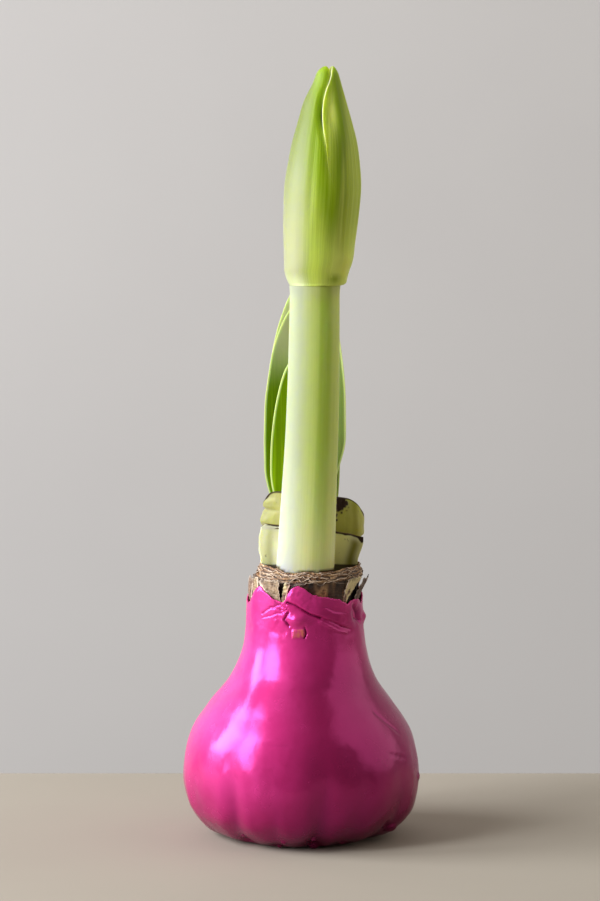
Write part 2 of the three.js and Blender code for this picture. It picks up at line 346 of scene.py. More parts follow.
def wax_material():
    s = Surface("wax", IOR=1.82, Specular_IOR_Level=1.0, Specular_Tint=(1.0, 0.12, 0.52))
    s.colour = s.blend(s.range(s.noise(18, detail=4), 0.35, 0.7), (0.72, 0.034, 0.225), (0.86, 0.052, 0.30))
    s.paint(s.range(s.noise(3.5), 0.55, 0.8), (0.36, 0.008, 0.07), 0.2)
    # painted shade: a deeper crimson on the front and right, where less light falls
    s.paint("deep", (0.23, 0.009, 0.057))
    # painted shade: darker towards the bottom, where the belly faces down
    s.paint(s.height(2, 50, 0.92, 0), (0.22, 0.006, 0.05))
    # more painted shade low down on the front and right
    s.paint("deep", (0.06, 0.001, 0.010), s.height(0, 28, 1.0, 0))
    # painted shade: darker still at the foot
    s.paint(s.height(0, 12, 0.75, 0), (0.10, 0.002, 0.02))
    s.paint("thin", (0.66, 0.05, 0.24), 0.35)
    # painted shade in the creases, the valleys and the pinch on the right
    s.paint("dark", (0.10, 0.003, 0.04))
    s.paint("skin", (0.62, 0.14, 0.10))
    gloss = s.range(s.noise(9, detail=4), 0.3, 0.75, 0.18, 0.29)
    return s.finish(gloss, (s.noise(7, detail=2), 0.08), (s.noise(0.9), 0.015))


def scape_material():
    s = Surface("scape", Subsurface_Scale=0.016, **FLESH)
    s.let_light_in(0.9)
    s.colour = s.blend(s.height(100, 160), (0.82, 0.80, 0.42), (0.60, 0.66, 0.20))
    s.paint(s.range(s.fibres(0.7, 60), 0.35, 0.7), (0.40, 0.49, 0.06), 0.15)
    # painted shade: a darker olive band down the stalk's shaded front right
    s.paint("olive", (0.42, 0.54, 0.045), s.height(100, 170, 0.1, 0.65))
    # painted light: the lit left side of the stalk is paler
    s.paint("pale", s.blend(s.height(100, 170), (0.52, 0.52, 0.44), (0.40, 0.42, 0.275)))
    s.paint(s.range(s.noise(6, (1, 1, 5)), 0.5, 0.8), (0.70, 0.73, 0.34), 0.25)
    # painted shadow at the stalk's foot, just above the neck's rim
    s.paint("dark", (0.10, 0.055, 0.025))
    gloss = s.range(s.noise(5, (1, 1, 4)), 0.3, 0.7, 0.36, 0.52)
    return s.finish(gloss, (s.fibres(0.8, 90), 0.03), (s.noise(1.4, (1, 1, 3)), 0.02))


def spathe_material():
    """Skin of the bud: yellow green, with a pale bloom and olive bands."""
    s = Surface("spathe", Subsurface_Scale=0.008, **FLESH)
    s.let_light_in(0.8)
    s.colour = s.blend(s.range(s.fibres(1.5, 80), 0.35, 0.7), (0.53, 0.64, 0.07), (0.60, 0.71, 0.11))
    vein = s.range(s.fibres(0.5, 40), 0.38, 0.66)
    s.paint(vein, (0.26, 0.37, 0.01), 0.38)
    # painted light: the lit left side of the bud is paler, brightest at its foot, which faces down, and darker
    # towards its tip
    pallor = s.blend(s.height(216, 222), (0.72, 0.76, 0.40), (0.50, 0.495, 0.29))
    s.paint("pale", s.blend(s.height(222, 282), pallor, (0.21, 0.25, 0.055)))
    # painted shade: darker on the strongly lit far left and along the olive band on the right
    s.paint("dull", (0, 0, 0))
    s.paint("olive", (0.27, 0.40, 0.001), s.range(vein, 0, 1, 0.78, 1))
    # cream at the foot, and the painted highlight on the sunken patch
    s.paint("cream_and_glint", (0.84, 0.96, 0.18))
    s.paint("edge", (0.80, 0.84, 0.48))
    # painted shade in the groove beside the lapping edge
    s.paint("dark", (0.010, 0.022, 0.001))
    gloss = s.range(s.noise(6, (1, 1, 4)), 0.3, 0.7, 0.34, 0.48)
    return s.finish(gloss, (s.fibres(0.5, 50), 0.12), (s.fibres(2.2, 90), 0.12), (s.noise(1.2), 0.02))


def leaf_material():
    s = Surface("leaf", Subsurface_Weight=0.3, Subsurface_Scale=0.002, Subsurface_Radius=(0.5, 1.0, 0.1),
                IOR=1.36, Specular_IOR_Level=0.1)
    s.colour = s.blend(s.range(s.fibres(0.8, 60), 0.4, 0.7), (0.17, 0.30, 0.001), (0.27, 0.43, 0.004))
    # painted shade: darker copies of the leaf colour, where olive says so
    s.paint("olive", (0.06, 0.11, 0.001))
    s.paint("pale", (0.55, 0.57, 0.30))
    s.paint("edge", (0.70, 0.80, 0.30))
    gloss = s.range(s.noise(5, (1, 1, 3)), 0.3, 0.7, 0.36, 0.52)
    return s.finish(gloss, (s.fibres(0.9, 70), 0.1), (s.noise(1.0), 0.02))


def stub_material():
    s = Surface("stub", Subsurface_Scale=0.003, **FLESH)
    s.let_light_in(0.8)
    s.colour = s.blend(s.range(s.noise(7, (1, 1, 2)), 0.35, 0.65), (0.60, 0.57, 0.22), (0.56, 0.54, 0.12))
    s.paint(s.range(s.fibres(2.5, 30), 0.5, 0.72), (0.40, 0.39, 0.08), 0.35)
    s.paint("pale", (0.95, 0.92, 0.66))
    # painted light: brighter and yellower on the low stub's right half, which the stalk shades
    s.paint("gold", (1.0, 0.97, 0.42))
    # painted shade: darker on the tall stub's strongly lit left side
    s.paint("dull", (0.32, 0.30, 0.115))
    # painted shade: olive on the shaded right of the stubs
    s.paint("olive", (0.26, 0.23, 0.003))
    s.paint(s.range(s.noise(1.6, (1, 1, 2)), 0.68, 0.74), (0.17, 0.12, 0.04), 0.5)
    s.paint("cut", (0.16, 0.09, 0.04))
    # dried callus and cut edges, and the painted shadow at the low stub's foot
    s.paint("callus_and_shadow", (0.04, 0.018, 0.012))
    gloss = s.range(s.noise(4), 0.3, 0.7, 0.36, 0.56)
    return s.finish(gloss, (s.fibres(1.2, 40), 0.1), (s.noise(2.2), 0.08), (s.noise(0.6), 0.02))


def paper_material(name, dark, tan, pale):
    """Papery skin: streaked in dark and tan, with pale torn edges and painted highlights on fold crests where
    edge says so, painted shade and dark marks where dark says so, and, where tone says so, a third colour.
    """
    s = Surface(name)
    streak = s.range(s.fibres(0.4, 4), 0.42, 0.58)
    layered = s.range(s.noise(1.1, (2.4, 2.4, 0.4)), 0.42, 0.58)
    share = s.math("ADD", s.math("MULTIPLY", streak, 0.45), s.math("MULTIPLY", layered, 0.55))
    s.colour = s.blend(share, dark, tan)
    s.paint("tone", pale)
    s.paint("edge", (0.84, 0.64, 0.48), 0.9)
    # painted shade under the folds, on the covered walls and in the recess, and dark marks
    s.paint("dark", (0.020, 0.008, 0.005))
    gloss = s.range(s.noise(1.5), 0.3, 0.7, 0.42, 0.66)
    return s.finish(gloss, (s.fibres(0.35, 5), 0.2), (s.noise(0.8), 0.18))


def crown_material():
    s = Surface("bulb_scale", Subsurface_Weight=0.1, Subsurface_Scale=0.002)
    s.colour = s.blend(s.range(s.noise(3), 0.35, 0.65), (0.50, 0.42, 0.24), (0.30, 0.20, 0.10))
    s.paint("dark", (0.09, 0.05, 0.025))
    return s.finish(s.range(s.noise(2), 0.3, 0.7, 0.5, 0.7), (s.noise(1.2), 0.15), (s.noise(0.4), 0.04))


# ---- Wax coat ----

WAX_OUTLINE = [(25.4, 0), (29.5, 0.5), (35.6, 3), (42.9, 10.4), (45.7, 19.5), (45.9, 29), (43.2, 40.5),
               (36.3, 51.5), (28.5, 62), (24.4, 72.5), (23.1, 84), (22.7, 101)]

# Height of the ragged edge of the wax, by turn.
WAX_EDGE = [(-180, 95.5), (-150, 97), (-125, 94), (-100, 93.8), (-86, 92.4), (-78, 91.8), (-66, 94),
            (-55, 99.2), (-47, 98.2), (-38, 96.2), (-28, 94.7), (-20, 94.8), (-15, 99), (-10, 100.6),
            (-4, 100.1), (3, 98.2), (15, 96.4), (28, 95.5), (36, 94.6), (45, 93), (55, 93.8), (68, 93.6),
            (76, 91.8), (90, 94), (112, 96.5), (138, 94.6), (160, 96.6), (180, 95.5)]

# The wax is wrapped over itself at the front of the neck: its fold as a path of (turn, height) points.
WRAP_FOLD = [(-17, 94.4), (-8, 93.1), (-2, 91.6), (6, 89.7), (16, 88.3), (28, 86.6), (40, 84.2), (50, 83)]

# Creases in the wax, as (path, width, depth). A crease with a depth below 0 is a raised seam.
CREASES = [
    (WRAP_FOLD[:5], 0.45, 0.8),
    (WRAP_FOLD[4:], 0.35, 0.3),
    ([(14, 87), (26, 84.6), (34, 82.8), (45, 81.8)], 0.35, -0.45),
    ([(-46, 89.2), (-38, 91.2), (-24, 93.6)], 0.35, 0.45),
    ([(-46, 87.6), (-36, 88.6), (-28, 89.9), (-22, 90.0)], 0.3, 0.3),
    ([(-36, 92.2), (-26, 91.6), (-18, 90.6)], 0.3, 0.4),
    ([(-30, 94.4), (-24, 92.6), (-17, 92.0)], 0.3, 0.35),
    ([(-16, 90.4), (-20, 87.7), (-15, 85.4)], 0.45, 0.8),
    ([(0, 84.6), (1.5, 82.4), (0, 80.8)], 0.35, 0.7),
    ([(58, 91.4), (62, 88.6), (70, 85.4)], 1.0, 1.1),
    ([(20, 92.6), (30, 90.6), (44, 89.6)], 0.28, 0.2),
    ([(64, 43), (58, 47), (52, 51.5)], 0.4, 0.3),
    ([(50, 36.5), (62, 33.8)], 0.4, 0.2),
    ([(-6, 42.5), (-22, 42)], 0.3, 0.08),
]

# Soft valleys between the lobes of the lower belly, as (turn, depth, half-width in degrees).
VALLEYS = [(-146, 0.96, 10), (-100, 0.72, 9), (-64, 0.48, 9), (-37, 1.32, 6), (-13, 0.6, 5), (11, 1.56, 6),
           (31, 0.48, 8), (57, 0.96, 7), (100, 0.96, 9), (143, 0.72, 10)]

# Beads of wax that ran down, as (turn, height, radius, how far it stands out).
BEADS = [(-165, 4, 1.8, 1.2), (-120, 2.4, 1.5, 1.2), (-39, 3, 1, 0.7), (-15, 0.8, 1.1, 1),
         (-10, 3.6, 1.2, 0.7), (8, 4.2, 1.1, 1), (10, 0.9, 1.9, 1.6), (28, 2.6, 0.9, 0.8), (62, 6, 2.6, 1.4),
         (80, 24, 1.6, 0.6), (100, 5, 2, 1.2), (120, 14, 1.2, 0.8), (150, 3, 1.6, 1.3)]

# Swellings as (turn, half-width in degrees, height, half-height, how far it stands out), hollows below 0.
SWELLINGS = [
    (85, 35, 10, 7, 0.7),  # the belly is full low down on the right
    (85, 35, 1.2, 1.3, -1.1),  # but drawn in at the table
    (-44, 10, 70, 9, 0.35),  # a blunt edge beside the neck's flat left front
    (-31, 20, 58.5, 6, 1.2),  # the full shoulder below it
    (-31, 20, 46, 9, 0.8),
    (-6.5, 9.55, 87.7, 2.2, 1.4),  # the lump below the wrap
    (63, 6.53, 88, 2.8, -1.4),  # the pinch on the right
    (88, 5.53, 86, 2.0, 1.1),  # the knob beside the pinch
]

NECK_ARC = math.radians(1) * NECK_RADIUS  # millimetres round the neck for a degree


def near_path(turn, z, path, width):
    """1 on a path of (turn, height) points round the neck, falling to 0 away from it."""
    best = np.zeros(np.broadcast(turn, z).shape)
    for (t0, z0), (t1, z1) in zip(path, path[1:]):
        ax, dx, dz = t0 * NECK_ARC, (t1 - t0) * NECK_ARC, z1 - z0
        share = np.clip(((turn * NECK_ARC - ax) * dx + (z - z0) * dz) / (dx * dx + dz * dz), 0, 1)
        away = np.hypot(turn * NECK_ARC - ax - share * dx, z - z0 - share * dz)
        best = np.maximum(best, np.exp(-((away / width) ** 2)))
    return best


def skin_scrap(turn, z):
    """Where a small scrap of the bulb's skin shows through the wax."""
    across = fade(np.abs((turn + 6) * NECK_ARC), 2.0, 2.5)
    return across * fade(np.abs(z - 82.7 - 0.04 * turn), 1.3, 1.8)


def wander(z):
    """How far the valleys of the lower belly wander to the side, in degrees."""
    return 5 * ragged(z, 16, 14)


def wax_relief(turn, z, points):
    """How far the wax stands out, in millimetres, from its smooth outline."""
    body = fade(z, 60, 84)
    low = fade(z, 14, 46)
    relief = 0.4 * lumps(points, 38, 1) * mix(0.3, 1, body)
    relief += 0.65 * lumps(points, 17, 2, (1, 1, 3.2)) * body * mix(0.1, 1, low)
    relief += 0.55 * lumps(points, 7, 8, (1, 1, 1.7)) * low
    relief += 0.10 * lumps(points, 8, 3) + 0.03 * lumps(points, 2.6, 4)
    relief += smooth(z, 78, 88) * (0.3 * lumps(points, 4.5, 5, (1, 1, 1.6)) + 0.1 * lumps(points, 1.8, 6))
    relief += smooth(z, 91, 96) * (0.15 * lumps(points, 2.4, 9) + 0.1 * lumps(points, 1.1, 10))
    # The belly sits a little to the right.
    relief += 0.45 * np.sin(np.radians(turn)) * hump(z, 40, 30)
    for valley, depth, half_width in VALLEYS:
        relief -= depth * low * hump(turn + wander(z), valley, half_width)
    for *place, stands in SWELLINGS:
        relief += stands * spot(turn, z, *place)
    for path, width, depth in CREASES:
        relief -= depth * near_path(turn, z, path, width)
    # The wrap: everything above the fold stands proud of what is below it.
    fold_turns, fold_heights = np.array(WRAP_FOLD).T
    along = smooth(turn, -20, -12) * (1 - 0.45 * smooth(turn, 14, 26)) * fade(turn, 42, 56)
    relief += along * 0.95 * smooth(z - np.interp(turn, fold_turns, fold_heights), -0.2, 0.9)
    return relief + 0.5 * skin_scrap(turn, z)


def crease_shade(turn, z):
    """Where creases, valleys and the pinch on the right look dark, from 0 to 1."""
    shade = 0.95 * spot(turn, z, 63, 8.54, 88, 3.2)
    for path, width, depth in CREASES:
        if depth > 0:
            shade = np.maximum(shade, min(depth, 0.8) * near_path(turn, z, path, 0.9 * width))
    low = smooth(z, 0, 3) * fade(z, 8, 38)
    for valley, depth, half_width in VALLEYS:
        darkest = 0.35 * min(depth / 1.2, 1)
        shade = np.maximum(shade, darkest * low * hump(turn + wander(z), valley, 0.5 * half_width))
    return shade


def painted_side_shade(turn, z):
    """Painted shade: where the wax is painted a deeper crimson, at its front and right where less light falls,
    but less so on the neck.
    """
    front = smooth(turn, -31, 13.5) * (1 - 0.5 * smooth(turn, 100, 180)) + 0.5 * smooth(-turn, 110, 180)
    return 0.95 * front * (1 - 0.42 * smooth(z, 58, 78)) * (1 - 0.25 * smooth(z, 89, 94))


def level(profile, part, like):
    """One part of (radius, height) points as rows, one for each point, right round the neck."""
    return [np.broadcast_to(point[part], like.shape) for point in profile]


def wax_coat(material):
    front = np.linspace(-75, 75, 190, endpoint=False)
    back = np.linspace(75, 285, 130, endpoint=False)
    turns = ((np.concatenate([front, back]) + 180) % 360 - 180)[None, :]
    # The outline, in even steps that are shorter at the foot and on the neck.
    outline = np.array(WAX_OUTLINE, float)
    places = np.concatenate([[0], np.cumsum(np.hypot(*np.diff(outline, axis=0).T))])
    steps = [np.arange(0, 26, 0.6), np.arange(26, 96, 0.85), np.arange(96, places[-1], 0.45), places[-1:]]
    along = np.concatenate(steps)
    radius, height = (curve(np.stack([places, values], 1), along) for values in outline.T)
    slope_r, slope_z = np.gradient(radius), np.gradient(height)
    size = np.hypot(slope_r, slope_z)
    out_r, out_z = (slope_z / size)[:, None], (-slope_r / size)[:, None]
    edge = curve(WAX_EDGE, turns)
    edge += 0.5 * ragged(turns, 8, 11) + 0.35 * ragged(turns, 2.7, 12) + 0.2 * ragged(turns, 1.2, 13)
    z = height[:, None] + (edge - height[-1]) * smooth(height[:, None], 70, height[-1])
    r = np.broadcast_to(radius[:, None], z.shape)
    base = around(turns, r, z)
    relief = wax_relief(turns, z, base) * smooth(height, 0, 1.2)[:, None]
    for bead_turn, bead_z, bead_radius, stands in BEADS:
        near = np.linalg.norm(base - around(bead_turn, np.interp(bead_z, height, radius), bead_z), axis=-1)
        bead = np.sqrt(np.clip(1 - (near / bead_radius) ** 2, 0, 1))
        relief += stands * bead * smooth(height, 0, 0.6)[:, None]
    outer_r = r + relief * out_r
    outer_z = np.maximum(z + relief * out_z, 0)
    # The rim is thin and rounded over, and then the inner wall goes down to the floor of the coat.
    rim_r, rim_z = outer_r[-1], outer_z[-1]
    inside = [(rim_r - 0.22, rim_z + 0.2), (rim_r - 0.5, rim_z + 0.12),
              (np.minimum(rim_r - 0.75, NECK_RADIUS - 1.0), rim_z - 0.7), (21.3, rim_z - 3), (21.1, 84),
              (22.8, 73.5), (27, 62.5), (34.8, 51.8), (41.2, 40.3), (43.6, 29), (43.2, 20), (39.8, 11.5),
              (32.8, 4.2), (22, 1.6), (4, 1.6)]
    foot = [(4, 0), (12, 0), (19, 0), (23.5, 0)]
    all_r = np.stack([*level(foot, 0, rim_r), *outer_r, *level(inside, 0, rim_r)])
    all_z = np.stack([*level(foot, 1, rim_r), *outer_z, *level(inside, 1, rim_r)])
    rings = around(turns, all_r, all_z)
    rings[..., 0] += lean(all_z)
    masks = {mask: np.zeros(all_r.shape) for mask in ("thin", "skin", "dark")}
    # painted shade on the front and right
    masks["deep"] = painted_side_shade(turns, all_z)
    wall = slice(len(foot), len(foot) + len(height))
    masks["thin"][wall.stop:] = 1
    masks["thin"][wall] = smooth(outer_z - edge, -4.5, -0.3)
    scrap = skin_scrap(turns, z) * smooth(lumps(base, 1.1, 7), -0.5, 0.1)
    masks["skin"][wall] = scrap * mix(0.5, 1, smooth(turns, -9, -5))
    masks["dark"][wall] = crease_shade(turns, z)
    column_piece("wax_coat_skin", rings, material, "wax_coat", masks)


# ---- Bulb ----

def bulb(material):
    """The bulb inside the wax. Only its crown shows, with the rings of its cut scales."""
    outline = [(4, 1.9), (22, 1.9), (32.4, 4.8), (39.3, 12), (42.7, 20.2), (43.1, 29), (40.7, 40),
               (34.3, 51.5), (26.6, 62), (22.3, 73.4), (21, 84), (20.6, 85.7), (19.05, 85.8), (19.05, 93),
               (18.95, 98.6)]
    turns = whole_turn(180)
    scale_thickness = 2.9
    crown_r = np.arange(18.6, 0.6, -0.3)
    ripple = 0.42 * np.sin(crown_r * 2 * math.pi / scale_thickness)
    crown_z = CROWN - 1 + ripple - 0.4 * smooth(crown_r, 17.6, 18.6)
    radius, height = np.concatenate([outline, np.stack([crown_r, crown_z], 1)]).T[..., None]
    z = height + 0.15 * lumps(around(turns, radius, 0.0), 2.2, 21) * (height > CROWN - 1.1)
    z = np.minimum(z, CROWN - 0.35)
    dark = smooth(CROWN - 0.8 - z, 0.0, 0.5)
    column_piece("bulb_scales", round_neck(turns, radius, z), material, "bulb", {"dark": dark})


# ---- Papery neck ----

# The nested paper layers of the neck, from the outside in. Each is folded outwards over itself at its rim:
# (radius, height of the rim, how far the fold hangs down, how far it stands out).
NECK_LAYERS = [(20.1, 103.3, 1.2, 0.9), (19.85, 104.6, 1.1, 0.7), (19.6, 105.7, 1.0, 0.5),
               (19.35, 106.8, 0.8, 0.35)]
RIM_ROUND = 0.4  # how far the rim rounds over, up and then down


def ragged_round(turns, size, seed):
    """Noise round the neck that joins up with itself, with waves of a size in millimetres."""
    return lumps(around(turns, PAPER_RADIUS, 0.0), size, seed)


def rim_height(turns, number=len(NECK_LAYERS) - 1):
    """Height of the torn rim of one of the neck's layers, by turn."""
    seed = 31 + 10 * number
    low_front = smooth(turns, -42, -29) * fade(turns, 29, 42) * mix(1.25, 0.85, smooth(turns, -30, 30))
    rim = NECK_LAYERS[number][1] - 0.35 * hump(turns, 0, 60) - (0.4 + 0.2 * number) * low_front
    for depth, size in ((0.45, 8), (0.4, 2.4), (0.14, 0.9)):
        rim += depth * ragged_round(turns, size, seed)
        seed += 1
    return rim


def foot_shade(points, behind=0.0):
    """1 at points of a stalk or stub that the neck's rim hides or nearly hides, and 0 above: painted shadow at
    their feet. behind is how much less it hides of what stands further back."""
    z = points[..., 2]
    turns = np.degrees(np.arctan2(points[..., 0] - lean(z), -points[..., 1]))
    return fade(z - rim_height(turns) + behind, 0.25, 0.7)


def neck_tunic(material):
    turns = whole_turn(520)
    for number, (radius, _, hang, out) in enumerate(NECK_LAYERS):
        seed = 31 + 10 * number
        rim_z = rim_height(turns, number) - RIM_ROUND
        torn = smooth(ragged_round(turns, 3.2, seed + 3), -0.4, 0.1)
        hang_z = np.maximum(hang * mix(0.3, 1.3, torn) + 0.4 * ragged_round(turns, 1.2, seed + 4), 0.15)
        bulge = 0.25 * ragged_round(turns, 6, seed + 5) + 0.15 * ragged_round(turns, 2.2, seed + 6)
        bulge -= 0.6 * hump(turns, -90, 35)
        # Up the neck, over its rim and down the outside again.
        profile = [(radius, z) for z in (PAPER_FOOT, 90, 94, 97, 99.5, 101.2)]
        profile += [(radius + bulge * t, mix(101.9, rim_z, t)) for t in np.linspace(0, 1, 5)]
        for angle in np.linspace(0.1, 1, 10) * math.pi:
            over = out * 0.3 * (1 - math.cos(angle))
            profile.append((radius + bulge + over, rim_z + RIM_ROUND * math.sin(angle)))
        for t in np.linspace(0.1, 1, 12):
            flare = out * (0.6 + 0.4 * t) + 0.3 * t * t
            profile.append((radius + bulge + flare, rim_z - (hang_z - 0.1) * t))
        r, z = (np.concatenate(level(profile, part, turns)) for part in (0, 1))
        up = np.linspace(0, 1, len(profile))[:, None]
        middle = round_neck(turns, r, z)
        crumple = 0.6 * lumps(middle, 2.7, seed + 7, (1.8, 1.8, 0.5)) + 0.28 * lumps(middle, 0.8, seed + 8)
        middle = round_neck(turns, r + smooth(z, 100.5, 103) * smooth(up, 0.2, 0.5) * crumple, z)
        # painted highlight in patches along the crest of each fold
        crest_highlight = smooth(lumps(middle, 2.4, seed + 9, (2, 2, 0.6)), 0.1, 0.5)
        # painted shade on the low wall of each layer, which the flaps and outer layers cover, and under each
        # fold
        hidden = 1 - smooth(z, 100.0, 103.2) * smooth(up, 0.1, 0.34)
        masks = {
            "fibre": turns * math.radians(PAPER_RADIUS),
            # pale torn edges, and the painted highlight on the fold's crest
            "edge": np.clip(smooth(up, 0.92, 0.98) + 0.9 * hump(up, 0.52, 0.07) * crest_highlight, 0, 1),
            "dark": np.maximum(hidden, 0.95 * hump(up, 0.8, 0.11)),
            "tone": 0.6 * smooth(lumps(middle, 3.6, seed + 10, (1.5, 1.5, 0.7)), -0.1, 0.4),
        }
        name = f"neck_tunic_layer_{number + 1}"
        paper = 0.25 * thin_rim(len(profile), turns.size, wrap=True)
        sheet_piece(name, middle, paper, material, "neck_tunic", masks, wrap=True)


def flap(side, material, heights, foot_turns, crown_turns, seed, olive=0, dark=0, flare=0, curl=(0, 0),
         inset=0, jag=1.3, olive_spot=(0, 90), margins=(0.08, 0.08), part="paper"):
    """A torn flap of the outer paper. heights are those of its foot and crown, and turns those of its left
    and right edge. flare and curl say how far its crown and each edge stand out, jag how deep the teeth of
    the edges are, and margins how wide their pale margins are, as shares of the width."""
    rows, columns = 60, 60
    up = np.linspace(0, 1, rows)[:, None] ** 0.9
    across = np.linspace(0, 1, columns)[None, :]
    left, right = mix(np.array(foot_turns), np.array(crown_turns), up).T[..., None]
    left = left + jag * ragged(up * 20, 1.8, seed + 1)
    right = right + jag * ragged(up * 20, 1.8, seed + 2)
    turns = mix(left, right, across)
    top = heights[1] + 0.55 * ragged(turns, 6, seed + 3) + 0.6 * ragged(turns, 1.8, seed + 4)
    z = mix(heights[0], top, up)
    free = smooth(up, 0.2, 0.5)
    bend = flare * smooth(up, 0.35, 1.0) + (curl[0] * (1 - across) ** 6 + curl[1] * across**6) * free
    radius = FLAP_RADIUS + 0.5 * smooth(z, 90, 94) - inset * hump(across, 0.5, 0.35) * free + bend
    middle = round_neck(turns, radius, z)
    crumple = 0.3 * lumps(middle, 2.4, seed + 5, (1, 1, 2)) + 0.16 * lumps(middle, 0.9, seed + 6)
    middle = round_neck(turns, radius + free * crumple, z)
    left_margin, right_margin = (fade(x, 0.6 * wide, wide) for x, wide in zip((across, 1 - across), margins))
    worn = lumps(middle, 2.2, seed + 8, (1, 1, 3))
    tinted = np.minimum(olive * smooth(lumps(middle, 2.2, seed + 7, (1, 1, 2)), -0.5, 0.1), 1)
    # dark marks near the top, and painted shade where dark says so, most on the front flap in the recess under
    # the rim's lip
    marks_and_shade = dark * smooth(worn, -0.6, 0.1) + 0.6 * smooth(z, top - 2.5, top) * smooth(worn, 0, 0.3)
    masks = {
        "fibre": turns * math.radians(PAPER_RADIUS),
        "edge": np.maximum(smooth(up, 0.95, 1.0) * 0.7, np.maximum(left_margin, right_margin)),
        "tone": tinted * hump(turns, *olive_spot),
        "dark": np.clip(marks_and_shade, 0, 1),
    }
    node = f"tunic_flap_{side}"
    paper = 0.3 * thin_rim(rows, columns)
    sheet_piece(f"{node}_{part}", middle, paper, material, node, masks)


def flaps(material, brown):
    """The torn flaps, from the left round the front to the right and then at the back."""
    flap("left", material, (87, 101.6), (-90, -72), (-95, -67), 60, dark=0.25, flare=0.9, curl=(0.3, 0.2))
    flap("left_strip", material, (92, 102.3), (-64, -54), (-72, -58), 70, olive=0.3, flare=1.1,
         curl=(0.2, 0.2), margins=(0.1, 0.3))
    flap("front_left", material, (93, 102.4), (-28, -25), (-63, -30.5), 80, olive=0.15, dark=0.2,
         flare=0.5, curl=(0.6, 0.3), margins=(0.16, 0.04))
    # painted shade: the front flap sits sunken in the shadow of the rim's lip
    flap("front", brown, (88, 102), (-24, 46), (-24, 46), 90, olive=1.0, dark=0.85, inset=0.8,
         olive_spot=(18, 12), margins=(0.02, 0.02))
    flap("front_right", material, (92.5, 102.8), (45, 48), (44, 67), 100, olive=3.0, flare=1.0,
         curl=(0.4, 0.4), margins=(0.1, 0.04))
    flap("right", material, (87, 101.8), (66, 95), (65, 97), 110, dark=0.6, flare=2.3,
         curl=(0.0, 0.3), jag=4.5, margins=(0.05, 0.05))
    flap("back_right", material, (87, 103), (104, 174), (106, 172), 120, dark=0.3, flare=0.8,
         curl=(0.4, 0.4))
    flap("back_left", material, (87, 101), (-172, -108), (-170, -108), 130, dark=0.4, flare=0.6,
         curl=(0.4, 0.4))
    # A narrow olive sliver stands in the front flap's left end, with a pale right edge.
    flap("front", material, (93.5, 102), (-24.2, -20), (-24, -17.5), 140, olive=0.8, flare=0.6,
         margins=(0.02, 0.3), jag=0.5, part="sliver")


# ---- Flower stalk and bud ----

def round_the_back(turns):
    """Share of the painted light on the lit left side that stays towards the back."""
    return 1 - 0.6 * smooth(-turns, 120, 175)


def scape(material):
    turns = whole_turn(110)
    up = np.linspace(0, 1, 120)[:, None]
    z = mix(CROWN, SCAPE_TOP, up)
    radius = mix(11.4, 9.6, up) - 0.3 * hump(up, 0.5, 0.4)
    place = around(turns, 10.0, z)
    ribs = 0.06 * lumps(place, 3.2, 41, (1, 1, 30)) + 0.12 * lumps(place, 14, 42, (1, 1, 2))
    ribs *= fade(z, 209, SCAPE_TOP)
    flare = 0.25 * smooth(z, 211, SCAPE_TOP) ** 2
    rings = around(turns, radius + ribs + flare, z, depth=0.82, middle=(0, SCAPE_DEPTH))
    rings[..., 0] += 1.7 + 4.0 * np.sin(up * math.pi / 2)
    masks = {
        "fibre": turns * math.radians(10.5),
        # painted shade down the shaded front right
        "olive": smooth(turns, 6, 16) * fade(turns, 34, 48),
        # painted light on the lit left side
        "pale": smooth(-turns, -8, 40) * round_the_back(turns),
        # painted shadow at the foot
        "dark": foot_shade(rings),
        "firm": smooth(z, 208, SCAPE_TOP),
    }
    column_piece("scape_stalk", rings, material, "scape", masks)


# The bud: its middle and half-width by height, and the turn where the right valve laps over the left.
BUD_MIDDLE = [(BUD_FOOT, 6.1), (215.8, 6.45), (216.4, 6.65), (217.4, 6.6), (219, 6.5), (221, 6.5), (224, 7.0),
              (232, 7.4), (240, 7.85), (252, 8.6), (263, 9.1), (278, 9.45), (286, 9.55), (293.6, 10.3),
              (BUD_TOP, 10.4)]
BUD_HALF = [(BUD_FOOT, 10.05), (215.8, 10.55), (216.4, 11.05), (217.4, 11.45), (219, 11.95), (221, 12.5),
            (224, 13.05), (232, 13.75), (243, 14.5), (254, 14.65), (262.7, 13.65), (270.5, 12.3), (278, 10.3),
            (286, 7.95), (293.6, 5.0), (BUD_TOP, 3.4)]
BUD_SEAM = [(BUD_FOOT, 33), (230, 31), (245, 24), (255.8, 14), (259.7, 8), (264.7, 5), (269.7, 2),
            (274.7, -2.5), (279, -5.5), (285, -5), (290.5, 0), (296, 16), (BUD_TOP, 20)]

# Its depth as a share of its width, by height: it bulges less at its front than at its sides.
BUD_FLATNESS = [(BUD_FOOT, 0.81), (216.4, 0.75), (217.4, 0.75), (219, 0.76), (221.5, 0.79), (226, 0.845),
                (232, 0.88), (BUD_TOP, 0.88)]

# Olive bands down the front of the bud, as (height, turn of its middle, half-width in degrees) points.
OLIVE_BANDS = [
    [(228, 20, 12), (240, 17, 14), (250, 9, 17), (262, -5, 20), (275, -15, 15), (286, -17, 18),
     (292, -10, 45), (BUD_TOP, 0, 90)],
    [(240, 18, 8), (250, 20, 8), (262, 24, 9), (278, 36, 16), (290, 44, 26), (BUD_TOP, 50, 40)],
]


